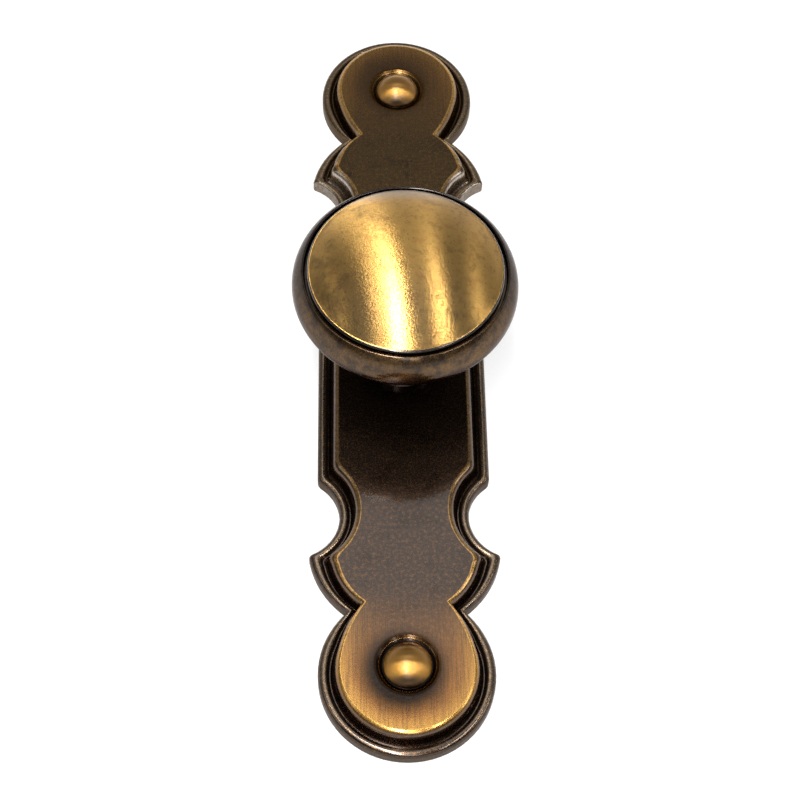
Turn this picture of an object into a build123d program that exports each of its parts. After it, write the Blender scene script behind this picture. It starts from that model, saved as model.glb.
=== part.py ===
from build123d import *
from math import atan2, cos, pi, sin, sqrt
import os

# A cabinet knob on a long scalloped backplate. Millimetres.
# It lies on its back: Z points out of the plate along the knob's axis, Y runs along the plate
# and the origin is the middle of the plate's back face.

# Outline of the plate, one quarter of it, mirrored into the other three.
side_x = 12.4
lobe_centre = Vector(0, 50.6)
lobe_r = 12.15
lobe_turn = -30
neck = Vector(8.2, 41.65)
ear_tip = Vector(13.75, 32.95)
ear_rise = 0.0925
flank_rise = 0.039
bite_centre = Vector(15.8, 26.7)
bite_r = 6.58
corner_cut = 0.6
corner_rise = 0.2

# The same corners where the flat field begins.
field_lobe_turn = -12
field_neck = Vector(5.7, 41.1)
field_tip = Vector(10.0, 34.3)
field_flank_rise = 0.054
field_corner_cut = 1.2

# Moulded edge, from the outer wall inward: bead, valley, cove, lip, flat field.
wall_top = 1.4
bead_r = 0.75
bead_end = 10
cove_start = 1.5
cove_radii = (0.65, 1.6)
cove_z = 3.1
cove_end = -12
lip_in = 2.25
lip_width = 0.75
lip_slopes = (70, 20)
field_z = 4.2
bead_steps = 7
cove_steps = 4
lip_steps = 4

# Hollow in the back of the plate.
rim = 3.7
web = 1.8
hollow_z = field_z - web

# Studs riveted through the lobes.
stud_y = 50.35
stud_seat_r = 3.5
stud_seat_mouth_r = 4.3
stud_seat_depth = 0.5
stud_dome_r = 3.35
stud_dome_foot = 0.2
stud_dome_rise = 2.2
stud_shank_r = 1.5
stud_tail_r = 2.5
stud_tail = 0.9

# Knob, turned in one piece, with its spigot spread behind the plate.
knob_r = 16.0
knob_r_z = 21.0
rim_upper = (15.55, 23.3)
rim_top = (14.6, 24.7)
rim_crown = (14.42, 24.76)
rim_inner = (14.27, 24.64)
rim_lower = (15.1, 18.6)
rim_under = (12.6, 16.9)
groove_r = 14.12
groove_z = 24.0
dome_r = 13.9
dome_edge_z = 24.6
dome_edge_round = 0.45
dome_top_z = 29.7
flare = (8.2, 14.6)
stem = (4.9, 9.6)
foot_r = 7.0
foot_edge = 0.8
spigot_r = 3.6
tail_r = 5.4
tail = 1.2
thread_r = 1.73
thread_depth = 12.5
drill_point = 1.0

# Room left round a shank in its hole.
shank_gap = 0.05


def bow(a, b, rise):
    """The middle of an arc from a to b, risen to its left by a share of its length."""
    along = b - a
    return (a + b) / 2 + Vector(-along.Y, along.X) * rise


def polar(centre, radius, angle):
    return centre + Vector(cos(angle), sin(angle)) * radius


def quarter(inset, turn, neck_at, tip_at, flank, cut):
    """Ends and middles of the arcs from the lobe to the straight side, set in from the outline."""
    lobe_end = polar(lobe_centre, lobe_r - inset, turn * pi / 180)
    bite = bite_r + inset
    side = side_x - inset
    shoulder = Vector(side, bite_centre.Y - sqrt(bite**2 - (bite_centre.X - side) ** 2))
    ear_end = tip_at + (neck_at - tip_at).normalized() * cut
    tip_angle = atan2(tip_at.Y - bite_centre.Y, tip_at.X - bite_centre.X)
    bite_start = polar(bite_centre, bite, tip_angle + cut / bite)
    bite_low = polar(bite_centre, bite, pi)
    shoulder_angle = atan2(shoulder.Y - bite_centre.Y, side - bite_centre.X)
    bite_end = polar(bite_centre, bite, shoulder_angle - cut / bite)
    side_start = shoulder - Vector(0, cut)
    return [
        lobe_end,
        bow(lobe_end, neck_at, flank),
        neck_at,
        bow(neck_at, ear_end, ear_rise),
        ear_end,
        bow(ear_end, bite_start, corner_rise),
        bite_start,
        bite_low,
        bite_end,
        bow(bite_end, side_start, corner_rise / 2),
        side_start,
    ]


field_in = lip_in + lip_width
outer = quarter(0, lobe_turn, neck, ear_tip, flank_rise, corner_cut)
inner = quarter(field_in, field_lobe_turn, field_neck, field_tip, field_flank_rise, field_corner_cut)


def outline(inset, height):
    """The closed outline of the plate at one height, set in evenly."""
    corner = [a + (b - a) * inset / field_in for a, b in zip(outer, inner)]
    edges = []
    for side in (1, -1):
        start = [Vector(p.X * side, p.Y * side, height) for p in corner]
        end = [Vector(p.X * side, -p.Y * side, height) for p in reversed(corner)]
        crown = Vector(0, (lobe_centre.Y + lobe_r - inset) * side, height)
        other_lobe_end = Vector(-start[0].X, start[0].Y, height)
        edges.append(Edge.make_three_point_arc(other_lobe_end, crown, start[0]))
        edges += [Edge.make_three_point_arc(*start[i : i + 3]) for i in range(0, len(start) - 1, 2)]
        edges.append(Edge.make_line(start[-1], end[0]))
        edges += [Edge.make_three_point_arc(*end[i : i + 3]) for i in range(0, len(end) - 1, 2)]
    return Wire(edges)


def arc_steps(centre, radii, first, last, steps):
    """Points on an arc of the edge's profile, as (inset, height), angles in degrees."""
    angles = [(first + (last - first) * i / steps) * pi / 180 for i in range(steps + 1)]
    return [(centre[0] + radii[0] * cos(a), centre[1] + radii[1] * sin(a)) for a in angles]


bead = arc_steps((bead_r, wall_top), (bead_r, bead_r), 180, bead_end, bead_steps)
cove = arc_steps((cove_start, cove_z), cove_radii, -80, cove_end, cove_steps)
steep, shallow = [(90 + slope) * pi / 180 for slope in lip_slopes]
lip_r = lip_width / (cos(shallow) - cos(steep))
lip_centre = (field_in - lip_r * cos(shallow), field_z - lip_r * sin(shallow))
lip = arc_steps(lip_centre, (lip_r, lip_r), 90 + lip_slopes[0], 90 + lip_slopes[1], lip_steps)
profile = [(0, 0)] + bead + cove + lip
sections = [outline(inset, height) for inset, height in profile]
plate = Solid.make_loft(sections, ruled=True)

hollow_face = Face(outline(rim, 0))
plate -= extrude(hollow_face, hollow_z, dir=(0, 0, 1))
knob_hole_r = spigot_r + shank_gap
lower = (Align.CENTER, Align.CENTER, Align.MIN)
plate -= Pos(0, 0, hollow_z) * Cylinder(knob_hole_r, web, align=lower)
stud_hole_r = stud_shank_r + shank_gap
seat_z = field_z - stud_seat_depth
for y in (stud_y, -stud_y):
    plate -= Pos(0, y, hollow_z) * Cylinder(stud_hole_r, web, align=lower)
    plate -= Pos(0, y, seat_z) * Cone(stud_seat_r, stud_seat_mouth_r, stud_seat_depth, align=lower)


def turned(draw):
    """A solid turned about Z from a closed half profile drawn as (radius, height)."""
    with BuildPart() as part:
        with BuildSketch(Plane.XZ):
            with BuildLine():
                draw()
            make_face()
        revolve(axis=Axis.Z)
    return part.part


def cap_radius(half_width, rise):
    """The radius of the sphere that a domed cap is cut from."""
    return (half_width**2 + rise**2) / (2 * rise)


def draw_stud():
    tail_z = hollow_z - stud_tail
    foot_z = seat_z + stud_dome_foot
    Polyline(
        (0, tail_z),
        (stud_tail_r, tail_z),
        (stud_tail_r, hollow_z),
        (stud_shank_r, hollow_z),
        (stud_shank_r, seat_z),
        (stud_dome_r, seat_z),
        (stud_dome_r, foot_z),
    )
    top = (0, foot_z + stud_dome_rise)
    RadiusArc((stud_dome_r, foot_z), top, -cap_radius(stud_dome_r, stud_dome_rise))
    Line(top, (0, tail_z))


def draw_knob():
    tail_z = hollow_z - tail
    thread_end = tail_z + thread_depth
    foot_top = field_z + foot_edge
    Polyline(
        (0, thread_end + drill_point),
        (thread_r, thread_end),
        (thread_r, tail_z),
        (tail_r, tail_z),
        (tail_r, hollow_z),
        (spigot_r, hollow_z),
        (spigot_r, field_z),
        (foot_r, field_z),
        (foot_r, foot_top),
    )
    Spline((foot_r, foot_top), stem, flare, rim_under)
    ThreePointArc(rim_under, rim_lower, (knob_r, knob_r_z))
    ThreePointArc((knob_r, knob_r_z), rim_upper, rim_top)
    ThreePointArc(rim_top, rim_crown, rim_inner)
    wall_end = (dome_r, dome_edge_z)
    Polyline(rim_inner, (groove_r, groove_z), (dome_r, groove_z), wall_end)
    edge_end = (dome_r - dome_edge_round, dome_edge_z + dome_edge_round)
    RadiusArc(wall_end, edge_end, -dome_edge_round)
    RadiusArc(edge_end, (0, dome_top_z), -cap_radius(edge_end[0], dome_top_z - edge_end[1]))
    Line((0, dome_top_z), (0, thread_end + drill_point))


stud = turned(draw_stud)

os.makedirs("parts", exist_ok=True)
export_step(plate, "parts/backplate.step")
export_step(turned(draw_knob), "parts/knob.step")
export_step(Pos(0, stud_y, 0) * stud, "parts/upper_stud.step")
export_step(Pos(0, -stud_y, 0) * stud, "parts/lower_stud.step")
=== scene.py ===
import math
from functools import partial

import bmesh
import bpy
import numpy as np
from bpy.props import FloatProperty, FloatVectorProperty, PointerProperty
from mathutils import Matrix, Vector


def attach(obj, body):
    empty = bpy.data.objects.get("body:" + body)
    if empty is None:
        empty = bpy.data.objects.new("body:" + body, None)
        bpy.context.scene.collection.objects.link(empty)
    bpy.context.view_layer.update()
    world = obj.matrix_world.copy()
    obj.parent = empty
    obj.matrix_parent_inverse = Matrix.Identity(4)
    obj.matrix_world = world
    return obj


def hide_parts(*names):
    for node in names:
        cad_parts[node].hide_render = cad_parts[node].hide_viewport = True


bl_info = {
    "name": "Cabinet Knob with Backplate",
    "version": (1, 0, 0),
    "blender": (4, 5, 0),
    "location": "View3D > Sidebar > Knob",
    "description": "Antique brass finish, floor, lights and camera for a knob on a scalloped plate",
    "category": "Object",
}

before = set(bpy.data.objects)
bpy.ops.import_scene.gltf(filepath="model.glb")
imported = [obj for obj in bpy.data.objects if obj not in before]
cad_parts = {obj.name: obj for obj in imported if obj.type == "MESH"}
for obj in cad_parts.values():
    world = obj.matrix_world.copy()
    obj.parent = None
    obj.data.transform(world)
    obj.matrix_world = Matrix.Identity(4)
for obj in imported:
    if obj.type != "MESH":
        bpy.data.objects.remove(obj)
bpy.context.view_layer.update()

MM = 0.001
IMAGE_SIZE = 800

# Sizes in millimetres, as in the part's source. The half size is rounded up.
WALL_TOP = 1.4
FIELD_Z = 4.2
KNOB_R = 16.0
DOME_R = 13.95
DOME_EDGE_ROUND = 0.4
DOME_EDGE_Z = 24.6
STUD_Y = 50.35
STUD_SEAT_MOUTH_R = 4.3
PLATE_HALF = (14, 63)

# The moulded edge is wider than this all round, in millimetres.
MOULDING_WIDTH = 2.0

# How close counts as touching, in millimetres: to a point, to the seam, to the flat face, to
# another height, and to a radius.
WELD = 0.0005
ON_SEAM = 0.002
ON_FACE = 0.02
ON_HEIGHT = 0.05
ON_RADIUS = 0.2

# The upward part of a face's normal, by which a face counts as lying flat, tilted, upright or
# turned down. Between flat faces and tilted ones, and past the angle, shading has a crisp edge.
FLAT = 0.999
TILTED = 0.99
SLOPED = 0.3
UPRIGHT = 0.1
TURNED_DOWN = -0.9
CRISP_ANGLE = math.radians(38)

# The flat face is cut into squares of this size in millimetres, so that it can carry a pattern of
# its own. Triangles below this area in square millimetres are slivers.
FACE_SQUARE = 1.5
SLIVER_AREA = 1e-5

# The knob and the studs are spun in this many steps.
TURN_STEPS = 144

# The dark oxide keeps the metal from whitening at a glancing angle.
EDGE_TINT = (0.45, 0.4, 0.36, 1.0)

# The photograph's camera, in millimetres and radians.
SENSOR = 36
FOCAL_PIXELS = 1824.8
CAMERA_LEAN = 0.54218
CAMERA_SIDE = -0.03685
CAMERA_ROLL = -0.01778
CAMERA_DISTANCE = 272.25
CAMERA_AIM = Vector((-0.247, -6.290, 0))

# The studio, in metres. The paper glows more beyond the reach of the part's shadow. Each light has
# a name, its angles to the right and away from the camera as seen from the knob, its width and
# length in degrees, and its radiance.
FLOOR_HALF = 6.0
PAPER_GLOW = 0.6
SHADOW_REACH = 0.15
ROOM_NEAR = 0.1
ROOM_FAR = 0.35
NEAR_FILL = 0.2
HORIZON_GLOW = 0.4
LIGHT_DISTANCE = 0.8
STUDIO_LIGHTS = (
    ("main softbox", -6, -20, 7, 56, 34.0),
    ("left softbox", -20, -12, 7, 36, 5.0),
    ("right softbox", 27, -20, 4, 44, 17.0),
    ("far left softbox", -49, -12, 8, 24, 1.5),
    ("far right softbox", 57, -12, 8, 24, 4.0),
    ("front softbox", 4, -56, 14, 16, 4.0),
    ("back softbox", 0, 26, 36, 16, 1.2),
)


def colour(hex_value):
    """An sRGB hex colour such as "#8a6a3c" as linear red, green, blue and alpha."""
    parts = [int(hex_value[i : i + 2], 16) / 255 for i in (1, 3, 5)]
    return (*[c / 12.92 if c <= 0.04045 else ((c + 0.055) / 1.055) ** 2.4 for c in parts], 1.0)


# Inputs 1 and 2 of a Map Range node are the ends of what it reads, and 3 and 4 of what it gives.
SMOOTH = {"interpolation_type": "SMOOTHSTEP"}
MULTIPLY = {"operation": "MULTIPLY"}


def add(tree, kind, inputs=None, output=None, **settings):
    """A node with its settings and its set or linked inputs. Gives an output, or the node."""
    made = tree.nodes.new("ShaderNode" + kind)
    for key, value in settings.items():
        setattr(made, key, value)
    for key, value in (inputs or {}).items():
        if isinstance(value, bpy.types.NodeSocket):
            tree.links.new(value, made.inputs[key])
        else:
            made.inputs[key].default_value = value
    return made if output is None else made.outputs[output]


def color_property(name, description, hex_value):
    """A colour of the finish, for its property group."""
    return FloatVectorProperty(
        name=name,
        description=description,
        subtype="COLOR",
        size=4,
        min=0,
        max=1,
        default=colour(hex_value),
    )


class KnobFinish(bpy.types.PropertyGroup):
    """Colours and sizes of the finish"""

    tarnish: color_property("Tarnish", "Blackened brass in the hollows", "#100c0a")
    patina: color_property("Patina", "Brown patina of the flat face and the rim", "#3a2f28")
    olive: color_property("Olive", "Thinner, greener patina of the upper half", "#4a3819")
    rubbed: color_property("Rubbed", "Brass where the patina is rubbed thin", "#a87440")
    # Also the colour of painted highlights along the plate's edges and lobes.
    bare: color_property("Bare", "Bare brass on rubbed edges and painted highlights", "#dcaa5a")
    dome: color_property("Dome", "Brushed brass of the knob's dome", "#cca056")
    # Pale colour of painted sheens and reflections: the dome's edge line and far edge, the upper
    # ears' slopes and the bead's crown.
    edge: color_property("Dome Edge", "Pale colour of painted sheens on the dome's edge and the plate", "#b8aca0")
    # Also the colour of the rim's painted highlight.
    stud: color_property("Studs", "Brass of the studs, and of the rim's rubbed parts and painted highlight", "#b08038")
    brush_turn: FloatProperty(
        name="Brush Turn",
        description="Turn of the dome's brush marks from square across the plate",
        subtype="ANGLE",
        default=math.radians(10),
    )
    pit_size: FloatProperty(
        name="Pit Size",
        description="Size of the casting pits in the dark brass",
        subtype="DISTANCE",
        unit="LENGTH",
        default=0.2 * MM,
        precision=5,
    )


def new_material(name):
    """An empty material, a maker of its nodes, and the place on the piece in millimetres."""
    material = bpy.data.materials.new(name)
    material.use_nodes = True
    material.node_tree.nodes.clear()
    node = partial(add, material.node_tree)
    place = node("TexCoord").outputs["Object"]
    mm = node("VectorMath", {0: place, "Scale": 1 / MM}, 0, operation="SCALE")
    return material, node, mm


def antique_plate(finish):
    """Cast brass darkened in a bath, relieved by brushing along its length and lacquered.

    The hollows stay nearly black, the flat face is a speckled brown, the lobes are brushed to a
    golden brown with painted light on the lower one and near their rims, the edge of the flat
    face is rubbed to bare brass with a painted highlight along it, and the bead wears in flecks
    under a painted grey sheen. Painted shade darkens the studs' seats, and a painted sheen greys
    the upper ears' slopes that face the foot of the plate.
    The attribute "across" runs from 0 at the outline to 1 at the flat face, and on in
    millimetres."""
    material, node, mm = new_material("lacquered antique brass")
    x, y, _ = node("SeparateXYZ", {0: mm}).outputs
    across = node("Attribute", None, "Fac", attribute_name="across")
    end = node("Math", {0: y}, 0, operation="ABSOLUTE")

    # Casting pits, patches of 3 mm, mottling of 0.5 mm, and brush lines of 0.15 mm. Real brush
    # lines are finer, and are drawn coarser so that they show.
    fineness = MM / finish.pit_size
    fine = {"Vector": mm, "Scale": fineness, "Detail": 3.0, "Roughness": 0.7}
    speckle = node("TexNoise", fine, 0)
    coarse = {"Vector": mm, "Scale": 0.3, "Detail": 4.0, "Roughness": 0.65}
    patches = node("TexNoise", coarse, 0)
    medium = {"Vector": mm, "Scale": 1.9, "Detail": 6.0, "Roughness": 0.8}
    mottle = node("TexNoise", medium, 0)
    drawn = node("VectorMath", {0: mm, 1: (6.0, 0.16, 1.0)}, 0, **MULTIPLY)
    lines = node("TexNoise", {"Vector": drawn, "Scale": 1.0, "Detail": 2.0, "Roughness": 0.6}, 0)

    # The patina is thinner and greener above the knob.
    upper = node("MapRange", {0: y, 1: -8.0, 2: 22.0}, 0, **SMOOTH)
    tones = {0: upper, "A": finish.patina, "B": finish.olive}
    ground = node("Mix", tones, "Result", data_type="RGBA")
    pits = node("MapRange", {0: speckle, 1: 0.52, 2: 0.75, 3: 0.0, 4: 0.16}, 0, **SMOOTH)
    clouds = node("MapRange", {0: patches, 1: 0.5, 2: 0.3, 3: 0.0, 4: 0.5}, 0, **SMOOTH)
    thin = node("MapRange", {0: mottle, 1: 0.46, 2: 0.68, 3: 0.0, 4: 0.3}, 0, **SMOOTH)
    wall = node("MapRange", {0: across, 1: 0.08, 2: 0.0, 3: 0.0, 4: 0.4}, 0, **SMOOTH)

    # The lobes are brushed down to the brass, and most towards their rims. The lower lobe is
    # lighter still by painted light, and the bare brass near the rims, brightest at the tips, is
    # wear with a painted highlight.
    face = node("MapRange", {0: across, 1: 0.78, 2: 0.95}, 0, **SMOOTH)
    lobe = node("MapRange", {0: end, 1: 38.0, 2: 54.0}, 0, **SMOOTH)
    worn = node("MapRange", {0: across, 1: 6.0, 2: 1.5, 3: 0.6, 4: 0.95}, 0)
    brushed = node("MapRange", {0: lines, 1: 0.3, 2: 0.62, 3: 0.45, 4: 1.0}, 0, **SMOOTH)
    # Painted light: the upper lobe is brushed less, so the lower one shows lighter.
    less = node("MapRange", {0: upper, 1: 0.0, 2: 1.0, 3: 1.0, 4: 0.42}, 0)
    for mask in (worn, brushed, less, face):
        lobe = node("Math", {0: lobe, 1: mask}, 0, **MULTIPLY)
    # Bare brass near the lobes' rims, stronger at the tips: wear with a painted highlight.
    glow = node("MapRange", {0: across, 1: 3.4, 2: 1.05, 3: 0.0, 4: 0.6}, 0, **SMOOTH)
    tip = node("MapRange", {0: end, 1: 42.0, 2: 56.0, 3: 0.4, 4: 0.9}, 0, **SMOOTH)
    for mask in (lobe, tip):
        glow = node("Math", {0: glow, 1: mask}, 0, **MULTIPLY)

    # Polish and dirt collect round the studs, which the brush can't reach, and painted shade
    # darkens their seats, most of it at the far side of the lower one.
    flat = node("CombineXYZ", {0: x, 1: end}, 0)
    at_stud = {0: flat, 1: (0.0, STUD_Y, 0.0)}
    stud = node("VectorMath", at_stud, "Value", operation="DISTANCE")
    at_dark_ring = {0: flat, 1: (-0.5, STUD_Y + 0.8, 0.0)}
    dark_ring_reach = node("VectorMath", at_dark_ring, "Value", operation="DISTANCE")
    ring_dirt_and_shade = node("MapRange", {0: dark_ring_reach, 1: 7.4, 2: 4.0}, 0, **SMOOTH)
    kept = node("MapRange", {0: upper, 1: 0.0, 2: 1.0, 3: 0.95, 4: 0.5}, 0)
    ring_dirt_and_shade = node("Math", {0: ring_dirt_and_shade, 1: kept}, 0, **MULTIPLY)

    # Bands across the moulding: where each one begins, is full, starts to fade and ends.
    bands = {}
    for band, begins, full, fades, ends in (
        ("slope", 0.7, 0.84, 0.95, 1.1),
        ("line", 0.85, 0.93, 1.04, 1.2),
        ("hollow", 0.32, 0.42, 0.5, 0.7),
        ("crown", 0.05, 0.2, 0.3, 0.42),
    ):
        rise = node("MapRange", {0: across, 1: begins, 2: full}, 0, **SMOOTH)
        fall = node("MapRange", {0: across, 1: ends, 2: fades}, 0, **SMOOTH)
        bands[band] = node("Math", {0: rise, 1: fall}, 0, **MULTIPLY)

    # The slope below the flat face is a little rubbed, its upper edge is bare in a broken line that
    # is wear with a painted highlight, the hollow is slightly blackened, and the bead's crown is
    # greyed by a painted sheen and bare in flecks.
    tips = node("MapRange", {0: end, 1: 18.0, 2: 30.0, 3: 0.05, 4: 0.15}, 0, **SMOOTH)
    slope = node("Math", {0: bands["slope"], 1: tips}, 0, **MULTIPLY)
    breaks = node("MapRange", {0: mottle, 1: 0.35, 2: 0.6, 3: 0.3, 4: 1.0}, 0, **SMOOTH)
    line_fade = node("MapRange", {0: end, 1: 17.0, 2: 45.0, 3: 0.3, 4: 1.0}, 0, **SMOOTH)
    # Painted highlight with wear: the bare line where the flat face's edge catches the light.
    line = bands["line"]
    for mask in (breaks, line_fade):
        line = node("Math", {0: line, 1: mask}, 0, **MULTIPLY)
    hollow = node("Math", {0: bands["hollow"], 1: 0.06}, 0, **MULTIPLY)
    dim = node("MapRange", {0: end, 1: 55.0, 2: 61.0, 3: 1.0, 4: 0.2}, 0, **SMOOTH)
    crown = node("Math", {0: bands["crown"], 1: dim}, 0, **MULTIPLY)
    # Painted sheen: the bead's crown is greyed.
    bead = node("Math", {0: crown, 1: 0.2}, 0, **MULTIPLY)
    flecks = node("MapRange", {0: mottle, 1: 0.5, 2: 0.72, 3: 0.08, 4: 0.6}, 0, **SMOOTH)
    crown = node("Math", {0: crown, 1: flecks}, 0, **MULTIPLY)

    # A painted sheen, standing in for the front light's reflection, greys the slopes of the upper
    # ears that face the foot of the plate, in streaks.
    tilt = node("SeparateXYZ", {0: node("TexCoord").outputs["Normal"]}).outputs[1]
    painted_ear_sheen = node("MapRange", {0: tilt, 1: -0.15, 2: -0.5, 3: 0.0, 4: 0.95}, 0, **SMOOTH)
    ears = node("MapRange", {0: y, 1: 22.0, 2: 26.0}, 0, **SMOOTH)
    ears_end = node("MapRange", {0: y, 1: 38.0, 2: 34.0}, 0, **SMOOTH)
    streaks = node("MapRange", {0: lines, 1: 0.3, 2: 0.62, 3: 0.5, 4: 1.0}, 0, **SMOOTH)
    for mask in (ears, ears_end, streaks):
        painted_ear_sheen = node("Math", {0: painted_ear_sheen, 1: mask}, 0, **MULTIPLY)

    paint = ground
    for share, shade in (
        (clouds, finish.tarnish),
        (thin, finish.rubbed),
        (pits, finish.rubbed),
        (lobe, finish.rubbed),
        (glow, finish.bare),
        (ring_dirt_and_shade, finish.tarnish),
        (slope, finish.rubbed),
        (line, finish.bare),
        (hollow, finish.tarnish),
        (painted_ear_sheen, finish.edge),
        (bead, finish.edge),
        (crown, finish.bare),
        (wall, finish.olive),
    ):
        paint = node("Mix", {0: share, "A": paint, "B": shade}, "Result", data_type="RGBA")

    # The lacquer is thin on the lobes, and dull on the outer wall and in the studs' seats.
    roughness = node("MapRange", {0: speckle, 1: 0.3, 2: 0.7, 3: 0.22, 4: 0.32}, 0, **SMOOTH)
    roughness = node("Math", {0: roughness, 1: wall}, 0)
    seat = node("MapRange", {0: stud, 1: 4.8, 2: 4.3}, 0, **SMOOTH)
    dull = node("Math", {0: seat, 1: wall}, 0, operation="MAXIMUM")
    coat = node("MapRange", {0: dull, 1: 0.0, 2: 0.6, 3: 0.8, 4: 0.1}, 0)
    thinned = node("MapRange", {0: lobe, 1: 0.0, 2: 1.0, 3: 1.0, 4: 0.3}, 0)
    coat = node("Math", {0: coat, 1: thinned}, 0, **MULTIPLY)

    # The metal is pitted, or lined where it is brushed, and the lacquer over it is wavy.
    grain = node("Mix", {0: lobe, "A": speckle, "B": lines}, "Result", data_type="FLOAT")
    pitting = node("Bump", {"Height": grain, "Strength": 0.3, "Distance": 0.012 * MM}, 0)
    waves = {"Vector": mm, "Scale": 1.1, "Detail": 2.0, "Roughness": 0.5}
    peel = node("TexNoise", waves, 0)
    lacquer = node("Bump", {"Height": peel, "Strength": 0.3, "Distance": 0.03 * MM}, 0)
    settings = {
        "Base Color": paint,
        "Metallic": 1.0,
        "Roughness": roughness,
        "Normal": pitting,
        "Specular Tint": EDGE_TINT,
        "Coat Weight": coat,
        "Coat Roughness": 0.1,
        "Coat Normal": lacquer,
    }
    shader = node("BsdfPrincipled", settings, 0)
    node("OutputMaterial", {"Surface": shader})
    return material


def brushed_dome(finish):
    """Brass brushed in one direction and lacquered.

    Fine parallel scratches spread each light into a long streak across them, and the grain of the
    metal breaks the streak's edges into sparks. A painted pale sheen lightens the far edge."""
    material, node, mm = new_material("brushed lacquered brass")

    # Scratches of 0.25 mm, which is coarser than real ones so that they show, sparks of 0.35 mm,
    # stains of 2 mm, patches of 7 mm, and small dents 6 mm apart.
    brush = node("UVMap", None, 0, uv_map="brush")
    drawn = node("VectorMath", {0: brush, 1: (120.0, 8.0, 1.0)}, 0, **MULTIPLY)
    along = {"Vector": drawn, "Scale": 1.0, "Detail": 3.0, "Roughness": 0.65}
    scratches = node("TexNoise", along, 0)
    sparks = node("TexNoise", {"Vector": mm, "Scale": 2.8, "Detail": 2.0, "Roughness": 0.6}, 0)
    stains = node("TexNoise", {"Vector": mm, "Scale": 0.5, "Detail": 5.0, "Roughness": 0.7}, 0)
    patches = node("TexNoise", {"Vector": mm, "Scale": 0.14, "Detail": 4.0, "Roughness": 0.6}, 0)
    nicks = node("TexVoronoi", {"Vector": mm, "Scale": 0.16, "Randomness": 1.0}, "Distance")

    warm = node("MapRange", {0: stains, 1: 0.5, 2: 0.65, 3: 0.0, 4: 0.4}, 0, **SMOOTH)
    green = node("MapRange", {0: stains, 1: 0.48, 2: 0.34, 3: 0.0, 4: 0.3}, 0, **SMOOTH)
    brown = node("MapRange", {0: patches, 1: 0.52, 2: 0.7, 3: 0.0, 4: 0.5}, 0, **SMOOTH)
    fine = node("MapRange", {0: scratches, 1: 0.5, 2: 0.75, 3: 0.0, 4: 0.12}, 0, **SMOOTH)
    # Painted sheen: the far edge of the dome is mixed towards a pale colour.
    far = node("SeparateXYZ", {0: mm}).outputs[1]
    pale = node("MapRange", {0: far, 1: 9.5, 2: 13.5, 3: 0.0, 4: 0.7}, 0, **SMOOTH)
    specks = node("MapRange", {0: sparks, 1: 0.6, 2: 0.72, 3: 0.0, 4: 0.45}, 0, **SMOOTH)
    dents = node("MapRange", {0: nicks, 1: 0.06, 2: 0.03, 3: 0.0, 4: 0.7}, 0, **SMOOTH)
    paint = finish.dome
    for share, shade in (
        (warm, finish.rubbed),
        (green, finish.olive),
        (brown, finish.patina),
        (fine, finish.patina),
        (pale, finish.edge),
        (specks, finish.patina),
        (dents, finish.tarnish),
    ):
        paint = node("Mix", {0: share, "A": paint, "B": shade}, "Result", data_type="RGBA")
    roughness = node("MapRange", {0: sparks, 1: 0.3, 2: 0.7, 3: 0.3, 4: 0.38}, 0, **SMOOTH)
    grain = node("Bump", {"Height": sparks, "Strength": 0.6, "Distance": 0.036 * MM}, 0)
    tangent = node("Tangent", None, 0, direction_type="UV_MAP", uv_map="brush")
    settings = {
        "Base Color": paint,
        "Metallic": 1.0,
        "Roughness": roughness,
        "Anisotropic": 1.0,
        "Normal": grain,
        "Tangent": tangent,
        "Coat Weight": 0.25,
        "Coat Roughness": 0.5,
    }
    shader = node("BsdfPrincipled", settings, 0)
    node("OutputMaterial", {"Surface": shader})
    return material


def polished_edge_with_painted_line(finish):
    """Brass polished by hands along the dome's edge, under a thick drop of lacquer.

    It is smooth enough to mirror the white paper, and its pale colour is a painted reflection of
    the paper in a thin line. It is darker towards the foot of the plate."""
    material, node, mm = new_material("polished brass with a painted pale line")
    patches = node("TexNoise", {"Vector": mm, "Scale": 0.5, "Detail": 4.0, "Roughness": 0.7}, 0)
    dull = node("MapRange", {0: patches, 1: 0.45, 2: 0.65, 3: 0.2, 4: 0.7}, 0, **SMOOTH)
    # The pale colour is a painted reflection of the paper; it is darker towards the foot of the
    # plate.
    near = node("SeparateXYZ", {0: mm}).outputs[1]
    darker_to_foot = node("MapRange", {0: near, 1: -2.0, 2: -9.0, 3: 0.0, 4: 0.85}, 0, **SMOOTH)
    paint = finish.edge
    for share, shade in ((dull, finish.patina), (darker_to_foot, finish.tarnish)):
        paint = node("Mix", {0: share, "A": paint, "B": shade}, "Result", data_type="RGBA")
    roughness = node("MapRange", {0: patches, 1: 0.3, 2: 0.7, 3: 0.15, 4: 0.3}, 0, **SMOOTH)
    coat = node("MapRange", {0: darker_to_foot, 1: 0.0, 2: 0.85, 3: 1.0, 4: 0.15}, 0)
    settings = {
        "Base Color": paint,
        "Metallic": 1.0,
        "Roughness": roughness,
        "Coat Weight": coat,
        "Coat Roughness": 0.1,
    }
    shader = node("BsdfPrincipled", settings, 0)
    node("OutputMaterial", {"Surface": shader})
    return material


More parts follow.
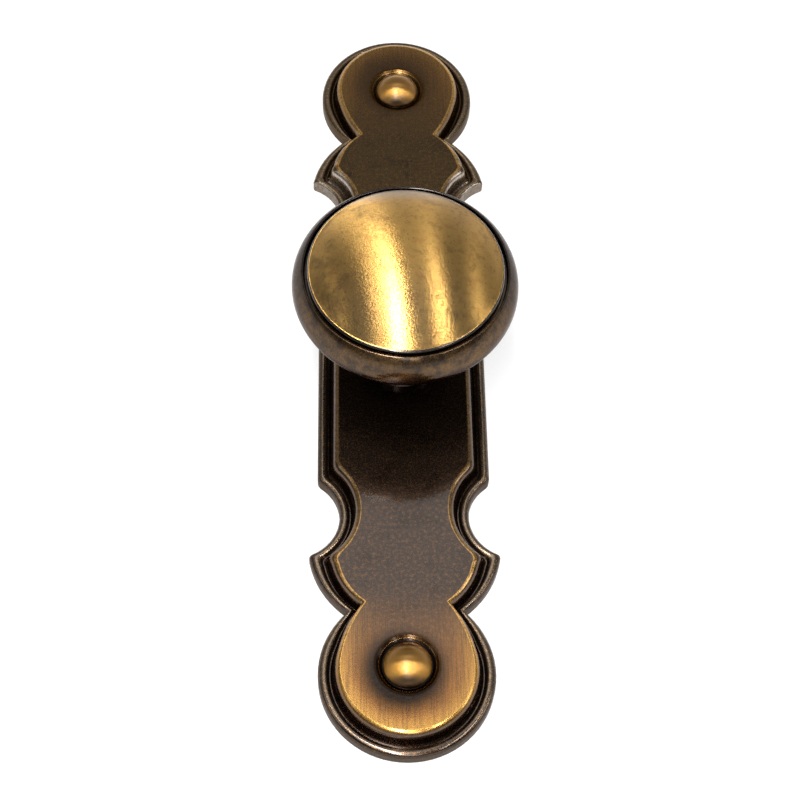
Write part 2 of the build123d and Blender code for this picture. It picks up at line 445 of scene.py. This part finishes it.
def darkened_rim(finish):
    """Turned brass with a dark brown patina under lacquer.

    The groove round the dome is darker, the underside is painted black as shade, and the rim's
    crown is a little rubbed, with a painted highlight towards the foot of the plate."""
    material, node, mm = new_material("darkened lacquered brass")
    x, y, z = node("SeparateXYZ", {0: mm}).outputs
    flat = node("CombineXYZ", {0: x, 1: y}, 0)
    radius = node("VectorMath", {0: flat}, "Value", operation="LENGTH")

    # Fine pits, and patches of 1.5 mm.
    fineness = MM / finish.pit_size
    fine = {"Vector": mm, "Scale": fineness, "Detail": 3.0, "Roughness": 0.7}
    speckle = node("TexNoise", fine, 0)
    patches = node("TexNoise", {"Vector": mm, "Scale": 0.6, "Detail": 6.0, "Roughness": 0.75}, 0)
    clouds = node("MapRange", {0: patches, 1: 0.55, 2: 0.35, 3: 0.15, 4: 0.6}, 0, **SMOOTH)
    rub_and_highlight = node("MapRange", {0: patches, 1: 0.35, 2: 0.7, 3: 0.06, 4: 0.4}, 0, **SMOOTH)
    # Painted highlight: the rubbing shows only towards the foot of the plate, where the front light
    # falls.
    near_side_highlight = node("MapRange", {0: y, 1: 4.0, 2: -14.0, 3: 0.0, 4: 1.0}, 0, **SMOOTH)
    pits = node("MapRange", {0: speckle, 1: 0.4, 2: 0.7, 3: 0.5, 4: 1.0}, 0, **SMOOTH)
    for mask in (near_side_highlight, pits):
        rub_and_highlight = node("Math", {0: rub_and_highlight, 1: mask}, 0, **MULTIPLY)
    groove = node("MapRange", {0: radius, 1: 14.75, 2: 14.4, 3: 0.0, 4: 0.3}, 0, **SMOOTH)
    above = node("MapRange", {0: z, 1: 23.2, 2: 23.6}, 0, **SMOOTH)
    groove = node("Math", {0: groove, 1: above}, 0, **MULTIPLY)
    # Painted shade: the underside is blackened and its coat thinned.
    under = node("MapRange", {0: z, 1: 21.8, 2: 20.2, 3: 0.0, 4: 0.95}, 0, **SMOOTH)
    paint = finish.patina
    for share, shade in (
        (clouds, finish.tarnish),
        (rub_and_highlight, finish.stud),
        (groove, finish.tarnish),
        (under, finish.tarnish),
    ):
        paint = node("Mix", {0: share, "A": paint, "B": shade}, "Result", data_type="RGBA")
    roughness = node("MapRange", {0: speckle, 1: 0.3, 2: 0.7, 3: 0.2, 4: 0.34}, 0, **SMOOTH)
    coat = node("MapRange", {0: under, 1: 0.0, 2: 0.95, 3: 0.5, 4: 0.1}, 0)
    pitting = node("Bump", {"Height": speckle, "Strength": 0.3, "Distance": 0.02 * MM}, 0)
    settings = {
        "Base Color": paint,
        "Metallic": 1.0,
        "Roughness": roughness,
        "Normal": pitting,
        "Specular Tint": EDGE_TINT,
        "Coat Weight": coat,
        "Coat Roughness": 0.1,
    }
    shader = node("BsdfPrincipled", settings, 0)
    node("OutputMaterial", {"Surface": shader})
    return material


def polished_stud(finish):
    """Turned brass, brushed in one pass with the plate and lacquered.

    The scratches run along the plate, so each light is drawn out across it. A few dark pits show
    where the brush doesn't reach. Painted shade browns the side that faces the foot of the plate,
    and the black foot is patina with painted shade."""
    material, node, mm = new_material("polished lacquered brass")
    height = node("SeparateXYZ", {0: mm}).outputs[2]
    tilt = node("SeparateXYZ", {0: node("TexCoord").outputs["Normal"]}).outputs[1]

    # Pits of 0.45 mm.
    speckle = node("TexNoise", {"Vector": mm, "Scale": 2.2, "Detail": 3.0, "Roughness": 0.7}, 0)
    pits = node("MapRange", {0: speckle, 1: 0.66, 2: 0.74, 3: 0.0, 4: 0.7}, 0, **SMOOTH)
    # Painted shade: faces turned towards the foot of the plate are browned.
    painted_lee_shade = node("MapRange", {0: tilt, 1: -0.42, 2: -0.72, 3: 0.0, 4: 0.75}, 0, **SMOOTH)
    # The foot is blackened: patina with painted shade.
    foot = node("MapRange", {0: height, 1: 4.15, 2: 3.8}, 0, **SMOOTH)
    paint = finish.stud
    for share, shade in ((pits, finish.tarnish), (painted_lee_shade, finish.patina), (foot, finish.tarnish)):
        paint = node("Mix", {0: share, "A": paint, "B": shade}, "Result", data_type="RGBA")
    roughness = node("MapRange", {0: speckle, 1: 0.3, 2: 0.7, 3: 0.32, 4: 0.4}, 0, **SMOOTH)
    tangent = node("Tangent", None, 0, direction_type="UV_MAP", uv_map="brush")
    settings = {
        "Base Color": paint,
        "Metallic": 1.0,
        "Roughness": roughness,
        "Anisotropic": 0.9,
        "Tangent": tangent,
        "Coat Weight": 0.6,
        "Coat Roughness": 0.3,
    }
    shader = node("BsdfPrincipled", settings, 0)
    node("OutputMaterial", {"Surface": shader})
    return material


def white_paper():
    """Matt white paper, white to the eye and in the metal, with a faint shadow near the part."""
    material, node, mm = new_material("white paper")
    rays = node("LightPath").outputs
    seen = rays["Is Camera Ray"]
    for kind in ("Is Glossy Ray", "Is Transmission Ray"):
        seen = node("Math", {0: seen, 1: rays[kind]}, 0, operation="MAXIMUM")
    away = node("VectorMath", {0: mm}, "Value", operation="LENGTH")
    reach = SHADOW_REACH / MM
    glow = node("MapRange", {0: away, 1: reach, 2: 3 * reach, 3: PAPER_GLOW, 4: 1.0}, 0)
    share = node("Math", {0: seen, 1: glow}, 0, **MULTIPLY)

    # Fibres of 0.5 mm, coarser than real ones so that they show.
    fibres = node("TexNoise", {"Vector": mm, "Scale": 2.0, "Detail": 3.0, "Roughness": 0.6}, 0)
    tone = node("MapRange", {0: fibres, 1: 0.3, 2: 0.7, 3: 0.93, 4: 0.97}, 0)
    matt = node("BsdfDiffuse", {"Color": tone}, 0)
    white = node("Emission", {"Color": (1, 1, 1, 1), "Strength": 1.0}, 0)
    mixed = node("MixShader", {0: share, 1: matt, 2: white}, 0)
    node("OutputMaterial", {"Surface": mixed})
    return material


def studio_world():
    """A dim room that is lighter behind the part than on the camera's side.

    A little more light comes from low on the camera's side, and the room is pale near the horizon
    and white just above it, where it meets the paper."""
    world = bpy.data.worlds.new("studio")
    world.use_nodes = True
    world.node_tree.nodes.clear()
    node = partial(add, world.node_tree)
    _, y, z = node("SeparateXYZ", {0: node("TexCoord").outputs["Generated"]}).outputs
    room = node("MapRange", {0: y, 1: -0.5, 2: 0.9, 3: ROOM_NEAR, 4: ROOM_FAR}, 0)
    fill = node("MapRange", {0: y, 1: -0.6, 2: -0.85, 3: 0.0, 4: NEAR_FILL}, 0, **SMOOTH)
    level = node("Math", {0: room, 1: fill}, 0)
    low = node("MapRange", {0: z, 1: 0.24, 2: 0.12}, 0, **SMOOTH)
    skyline = node("MapRange", {0: z, 1: 0.12, 2: 0.09}, 0)
    for share, bright in ((low, HORIZON_GLOW), (skyline, 1.0)):
        level = node("Mix", {0: share, "A": level, "B": bright}, "Result", data_type="FLOAT")
    light = node("Background", {"Color": (1, 1, 1, 1), "Strength": level}, 0)
    node("OutputWorld", {"Surface": light})
    return world


def photo_camera(scene):
    """The photograph's viewpoint, aimed at a point beside the knob."""
    data = bpy.data.cameras.new("camera")
    data.sensor_width = SENSOR
    data.lens = FOCAL_PIXELS / IMAGE_SIZE * SENSOR
    camera = bpy.data.objects.new("camera", data)
    scene.collection.objects.link(camera)
    back = Vector(
        (
            math.sin(CAMERA_SIDE) * math.cos(CAMERA_LEAN),
            -math.sin(CAMERA_LEAN),
            math.cos(CAMERA_SIDE) * math.cos(CAMERA_LEAN),
        )
    )
    right = Vector((0, 1, 0)).cross(back).normalized()
    roll = Matrix.Rotation(CAMERA_ROLL, 3, back)
    place = Matrix((roll @ right, roll @ back.cross(right), back)).transposed().to_4x4()
    place.translation = (CAMERA_AIM + back * CAMERA_DISTANCE) * MM
    camera.matrix_world = place
    return camera


def merged_form(node_name):
    """A welded copy of a CAD node's mesh."""
    form = bmesh.new()
    form.from_mesh(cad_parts[node_name].data)
    bmesh.ops.remove_doubles(form, verts=form.verts, dist=WELD * MM)
    return form


def turned_form(node_name, centre_y=0):
    """A lathe-turned piece, spun in even steps from the profile of the CAD node's seam."""
    form = merged_form(node_name)
    seam = ON_SEAM * MM
    centre = centre_y * MM
    aside = [v for v in form.verts if abs(v.co.y - centre) > seam or v.co.x < -seam]
    bmesh.ops.delete(form, geom=aside, context="VERTS")

    # The seam leaves out the flat rings, which lie between two loose ends at one height.
    ends = [v for v in form.verts if len(v.link_edges) == 1 and v.co.x > seam]
    ends.sort(key=lambda v: (round(v.co.z / MM, 2), v.co.x))
    for inner, outer in zip(ends[::2], ends[1::2]):
        form.edges.new((inner, outer))
    bmesh.ops.spin(
        form,
        geom=[*form.verts, *form.edges],
        cent=(0, centre, 0),
        axis=(0, 0, 1),
        angle=math.tau,
        steps=TURN_STEPS,
        use_merge=True,
    )
    bmesh.ops.remove_doubles(form, verts=form.verts, dist=WELD * MM)

    # A flat end that reaches the axis, such as a stud's tail, is still open.
    bmesh.ops.holes_fill(form, edges=[e for e in form.edges if e.is_boundary])
    bmesh.ops.recalc_face_normals(form, faces=form.faces)
    return form


def finished_piece(form, node_name, slot_name, *materials):
    """A smooth-shaded piece that stands for a CAD node, crisp at its corners and flat faces."""
    for e in form.edges:
        if len(e.link_faces) == 2:
            low_tilt, high_tilt = sorted(f.normal.z for f in e.link_faces)
            on_plate = e.verts[0].co.z / MM < FIELD_Z + 2 * ON_HEIGHT
            borders_flat = on_plate and high_tilt > FLAT and low_tilt < TILTED
            e.smooth = e.calc_face_angle() < CRISP_ANGLE and not borders_flat
    mesh = bpy.data.meshes.new("finished_" + node_name)
    form.to_mesh(mesh)
    form.free()
    for material in materials:
        mesh.materials.append(material)
    piece = bpy.data.objects.new(mesh.name, mesh)
    bpy.context.scene.collection.objects.link(piece)
    mesh.shade_smooth()
    weighted = piece.modifiers.new("even shading", "WEIGHTED_NORMAL")
    weighted.keep_sharp = True
    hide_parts(node_name)
    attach(piece, "root")
    return piece


def edge_lines(edges):
    """The starts of some edges and the ways along them, in millimetres, seen from above."""
    start = np.array([e.verts[0].co.xy for e in edges]) / MM
    return start, np.array([e.verts[1].co.xy for e in edges]) / MM - start


def moulding_lines(form):
    """The edges of the plate's outline and of its flat face, on either side of the moulding."""
    outline = []
    face_edge = []
    for e in form.edges:
        low, high = sorted(v.co.z / MM for v in e.verts)
        low_tilt, high_tilt = sorted(f.normal.z for f in e.link_faces)
        if high < ON_HEIGHT and low_tilt < TURNED_DOWN and abs(high_tilt) < UPRIGHT:
            top = max(v.co.z / MM for f in e.link_faces for v in f.verts)
            if top < WALL_TOP + ON_HEIGHT:
                outline.append(e)
        elif low > FIELD_Z - ON_HEIGHT and high_tilt > FLAT and SLOPED < low_tilt < TILTED:
            x, y = (e.verts[0].co.xy + e.verts[1].co.xy) / 2 / MM
            if math.hypot(x, abs(y) - STUD_Y) > STUD_SEAT_MOUTH_R + ON_RADIUS:
                face_edge.append(e)
    return edge_lines(outline), edge_lines(face_edge)


def on_field(face):
    """Whether a face is part of the plate's flat face."""
    return face.normal.z > FLAT and face.calc_center_median().z / MM > FIELD_Z - ON_HEIGHT


def cut_face(form):
    """Cut the plate's flat face into squares."""
    for axis, half in zip((Vector((1, 0, 0)), Vector((0, 1, 0))), PLATE_HALF):
        reach = int(half / FACE_SQUARE)
        for step in range(-reach, reach + 1):
            flat = [f for f in form.faces if on_field(f)]
            edges = {e for f in flat for e in f.edges}
            verts = {v for f in flat for v in f.verts}
            bmesh.ops.bisect_plane(
                form,
                geom=[*flat, *edges, *verts],
                dist=2 * WELD * MM,
                plane_co=axis * step * FACE_SQUARE * MM,
                plane_no=axis,
            )
    bmesh.ops.triangulate(form, faces=form.faces)

    # A cut can leave three points of a triangle in line. The edge across them is turned.
    slivers = [f for f in form.faces if f.calc_area() < SLIVER_AREA * MM**2]
    longest = {max(f.edges, key=lambda e: e.calc_length()) for f in slivers}
    bmesh.ops.rotate_edges(form, edges=list(longest))


def distance_to(form, lines):
    """How far each vertex lies from the nearest of some lines, in millimetres, from above."""
    start, along = lines
    length = (along**2).sum(1)
    nearest = []
    for v in form.verts:
        offset = np.array(v.co.xy) / MM - start
        share = ((offset * along).sum(1) / length).clip(0, 1)
        nearest.append(np.sqrt(((offset - along * share[:, None]) ** 2).sum(1).min()))
    return np.array(nearest)


def place_across(form, outline, face_edge):
    """Where each vertex lies across the moulded edge: 0 at the outline and 1 at the flat face.

    On the flat face it is 1 plus the distance in millimetres from the edge."""
    inset = distance_to(form, outline)
    beyond = distance_to(form, face_edge)
    high = np.array([v.co.z / MM > FIELD_Z - ON_FACE for v in form.verts])
    between = inset / np.maximum(inset + beyond, WELD)
    return np.where(high & (inset > MOULDING_WIDTH), 1 + beyond, between)


def map_brush(mesh, turn):
    """Map a piece from above, turned so that its brush marks run along the map's second axis."""
    brush = mesh.uv_layers.new(name="brush")
    turned = Matrix.Rotation(-turn, 2)
    for loop in mesh.loops:
        place = turned @ mesh.vertices[loop.vertex_index].co.xy
        brush.data[loop.index].uv = place.yx / (2 * KNOB_R * MM) + Vector((0.5, 0.5))


class KNOB_OT_backplate(bpy.types.Operator):
    """Finish the backplate in antique brass"""

    bl_idname = "knob.backplate"
    bl_label = "Backplate"

    def execute(self, context):
        form = merged_form("backplate")
        outline, face_edge = moulding_lines(form)
        cut_face(form)
        across = place_across(form, outline, face_edge)
        piece = finished_piece(form, "backplate", "plate", antique_plate(context.scene.knob_finish))
        piece.data.attributes.new("across", "FLOAT", "POINT").data.foreach_set("value", across)
        return {"FINISHED"}


class KNOB_OT_knob(bpy.types.Operator):
    """Finish the knob in brushed and darkened brass"""

    bl_idname = "knob.knob"
    bl_label = "Knob"

    def execute(self, context):
        finish = context.scene.knob_finish
        materials = darkened_rim(finish), brushed_dome(finish), polished_edge_with_painted_line(finish)
        piece = finished_piece(turned_form("knob"), "knob", "knob", *materials)
        map_brush(piece.data, finish.brush_turn)
        for face in piece.data.polygons:
            centre = face.center / MM
            if centre.z > DOME_EDGE_Z and centre.xy.length < DOME_R:
                face.material_index = 1 if centre.xy.length < DOME_R - DOME_EDGE_ROUND else 2
        return {"FINISHED"}


class KNOB_OT_studs(bpy.types.Operator):
    """Finish the two domed studs in polished brass"""

    bl_idname = "knob.studs"
    bl_label = "Studs"

    def execute(self, context):
        material = polished_stud(context.scene.knob_finish)
        for name, centre_y in (("upper_stud", STUD_Y), ("lower_stud", -STUD_Y)):
            piece = finished_piece(turned_form(name, centre_y), name, "studs", material)
            map_brush(piece.data, math.radians(90))
        return {"FINISHED"}


def studio_light(scene, name, across, away, width, length, radiance):
    """A soft light over the part, its angles in degrees as seen from the knob."""
    data = bpy.data.lights.new(name, "AREA")
    data.shape = "RECTANGLE"
    data.size = 2 * LIGHT_DISTANCE * math.tan(math.radians(width / 2))
    data.size_y = 2 * LIGHT_DISTANCE * math.tan(math.radians(length / 2))
    data.energy = radiance * math.pi * data.size * data.size_y
    to_side = Matrix.Rotation(math.radians(across), 3, "Y")
    turn = Matrix.Rotation(math.radians(-away), 3, "X") @ to_side
    light = bpy.data.objects.new(name, data)
    light.rotation_euler = turn.to_euler()
    light.location = turn @ Vector((0, 0, LIGHT_DISTANCE))
    scene.collection.objects.link(light)


class KNOB_OT_stage(bpy.types.Operator):
    """Make the floor, the lights, the world and the camera"""

    bl_idname = "knob.stage"
    bl_label = "Stage"

    def execute(self, context):
        scene = context.scene
        form = bmesh.new()
        bmesh.ops.create_grid(form, x_segments=1, y_segments=1, size=FLOOR_HALF)
        mesh = bpy.data.meshes.new("floor")
        form.to_mesh(mesh)
        form.free()
        floor = bpy.data.objects.new("floor", mesh)
        scene.collection.objects.link(floor)
        mesh.materials.append(white_paper())
        scene.world = studio_world()
        for settings in STUDIO_LIGHTS:
            studio_light(scene, *settings)
        scene.camera = photo_camera(scene)
        scene.view_settings.view_transform = "Standard"
        return {"FINISHED"}


class KNOB_PT_panel(bpy.types.Panel):
    """Buttons for the pieces and the stage"""

    bl_label = "Cabinet Knob"
    bl_idname = "KNOB_PT_panel"
    bl_space_type = "VIEW_3D"
    bl_region_type = "UI"
    bl_category = "Knob"

    def draw(self, context):
        for made in (KNOB_OT_backplate, KNOB_OT_knob, KNOB_OT_studs, KNOB_OT_stage):
            self.layout.operator(made.bl_idname)


classes = (KnobFinish, KNOB_OT_backplate, KNOB_OT_knob, KNOB_OT_studs, KNOB_OT_stage, KNOB_PT_panel)


def register():
    for made in classes:
        bpy.utils.register_class(made)
    bpy.types.Scene.knob_finish = PointerProperty(type=KnobFinish)


def unregister():
    del bpy.types.Scene.knob_finish
    for made in reversed(classes):
        bpy.utils.unregister_class(made)


def main():
    """Make everything."""
    register()
    bpy.ops.knob.backplate()
    bpy.ops.knob.knob()
    bpy.ops.knob.studs()
    bpy.ops.knob.stage()


if __name__ == "__main__":
    main()
